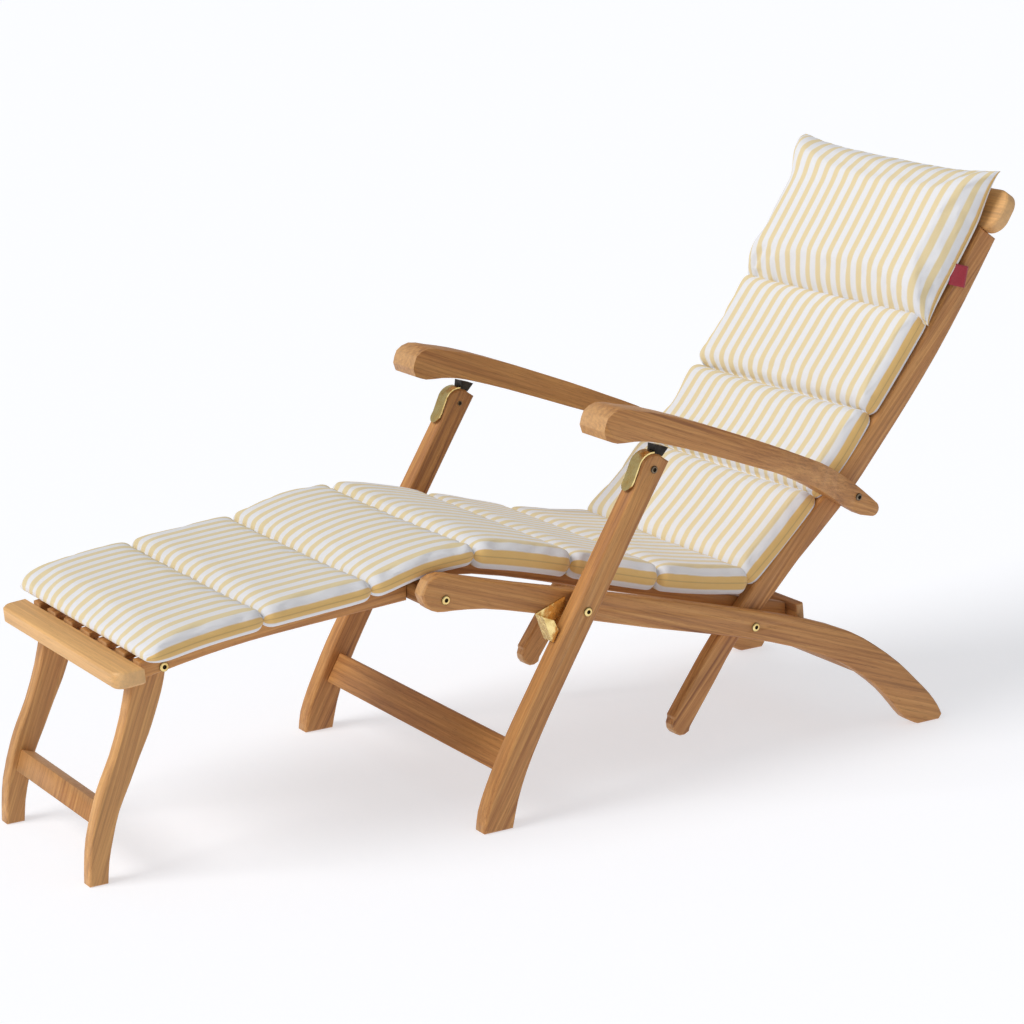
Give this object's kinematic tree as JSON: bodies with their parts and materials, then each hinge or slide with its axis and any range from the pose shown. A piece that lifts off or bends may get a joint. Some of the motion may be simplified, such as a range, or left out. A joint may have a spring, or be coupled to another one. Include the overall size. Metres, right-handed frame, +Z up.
{
  "type": "folding deck chair",
  "caption": "Folding slatted teak deck chair with bent rear legs, crossed front posts, hinged footrest, curved armrests, brass fittings and a channelled striped cushion with head pillow.",
  "frame": {"origin": "on the floor, under the middle of the chair in its open position", "axes": "+X to the left of a person in the chair, +Y from the foot end to the head end, +Z up"},
  "size_m": [0.641, 1.7126, 0.9503],
  "materials": {
    "teak": "oiled teak, planed and sanded, satin",
    "brass": "polished brass, slightly dulled",
    "dark_steel": "dark steel, satin",
    "cloth": "woven cotton canvas in lengthwise stripes, padded"
  },
  "bodies": {
    "seat_frame": {"seat_rail_left": "teak", "seat_rail_right": "teak", "inner_rail_left": "teak", "inner_rail_right": "teak", "seat_front_rail": "teak", "seat_slat_far_right": "teak", "seat_slat_right": "teak", "seat_slat_middle": "teak", "seat_slat_left": "teak", "seat_slat_far_left": "teak", "rear_cross_board": "teak", "rear_stretcher": "teak", "stop_plate_left": "brass", "stop_plate_right": "brass", "post_bolt_left": "brass", "post_bolt_right": "brass", "knee_bolt_left": "brass", "knee_bolt_right": "brass", "seat_cushion": "cloth"},
    "front_legs": {"post_left": "teak", "post_right": "teak", "post_stretcher": "teak", "brass_strap_left": "brass", "brass_strap_right": "brass", "post_pin_left": "dark_steel", "post_pin_right": "dark_steel", "arm_catch_left": "dark_steel", "arm_catch_right": "dark_steel"},
    "back_bolts": {"back_bolt_left": "brass", "back_bolt_right": "brass"},
    "back_frame": {"back_stile_left": "teak", "back_stile_right": "teak", "headrail": "teak", "back_lower_rail": "teak", "back_slat_far_right": "teak", "back_slat_right": "teak", "back_slat_middle": "teak", "back_slat_left": "teak", "back_slat_far_left": "teak", "back_cushion": "cloth", "head_pillow": "cloth"},
    "arm_bolts": {"arm_bolt_left": "dark_steel", "arm_bolt_right": "dark_steel"},
    "armrests": {"armrest_left": "teak", "armrest_right": "teak"},
    "footrest": {"footrest_rail_left": "teak", "footrest_rail_right": "teak", "footrest_rear_rail": "teak", "footrest_front_rail": "teak", "foot_slat_far_right": "teak", "foot_slat_right": "teak", "foot_slat_middle": "teak", "foot_slat_left": "teak", "foot_slat_far_left": "teak", "footrest_cushion": "cloth"},
    "foot_legs": {"foot_leg_left": "teak", "foot_leg_right": "teak", "foot_stretcher": "teak", "foot_bolt_left": "brass", "foot_bolt_right": "brass"}
  },
  "joints": [
    {"name": "back_fold", "type": "hinge", "parent": "seat_frame", "child": "back_bolts", "pos_m": [0, 0.30875, 0.237], "axis": [1, 0, 0], "range_deg": [0, 66], "deforming": ["seat_cushion", "back_cushion"]},
    {"name": "back_recline", "type": "hinge", "parent": "back_bolts", "child": "back_frame", "pos_m": [0, 0.30875, 0.237], "axis": [1, 0, 0], "range_deg": [0, 24]},
    {"name": "arm_level", "type": "hinge", "parent": "back_frame", "child": "arm_bolts", "pos_m": [0, 0.52175, 0.43], "axis": [1, 0, 0], "range_deg": [-66, 0]},
    {"name": "arm_slide_turn", "type": "hinge", "parent": "arm_bolts", "child": "armrests", "pos_m": [0, 0.52175, 0.43], "axis": [1, 0, 0], "range_deg": [-19.2, 0]},
    {"name": "front_leg_fold", "type": "hinge", "parent": "seat_frame", "child": "front_legs", "pos_m": [0, -0.05625, 0.333], "axis": [1, 0, 0], "range_deg": [0, 92.4]},
    {"name": "footrest_fold", "type": "hinge", "parent": "seat_frame", "child": "footrest", "pos_m": [0, -0.29325, 0.38], "axis": [1, 0, 0], "range_deg": [0, 90]},
    {"name": "foot_leg_fold", "type": "hinge", "parent": "footrest", "child": "foot_legs", "pos_m": [0, -0.73625, 0.331], "axis": [1, 0, 0], "range_deg": [0, 112]}
  ],
  "couplings": [
    {"joint": "arm_level", "follows": "back_fold", "ratio": -1},
    {"joint": "arm_slide_turn", "follows": "back_recline", "ratio": -0.8},
    {"joint": "front_leg_fold", "follows": "back_fold", "ratio": 1.4}
  ]
}
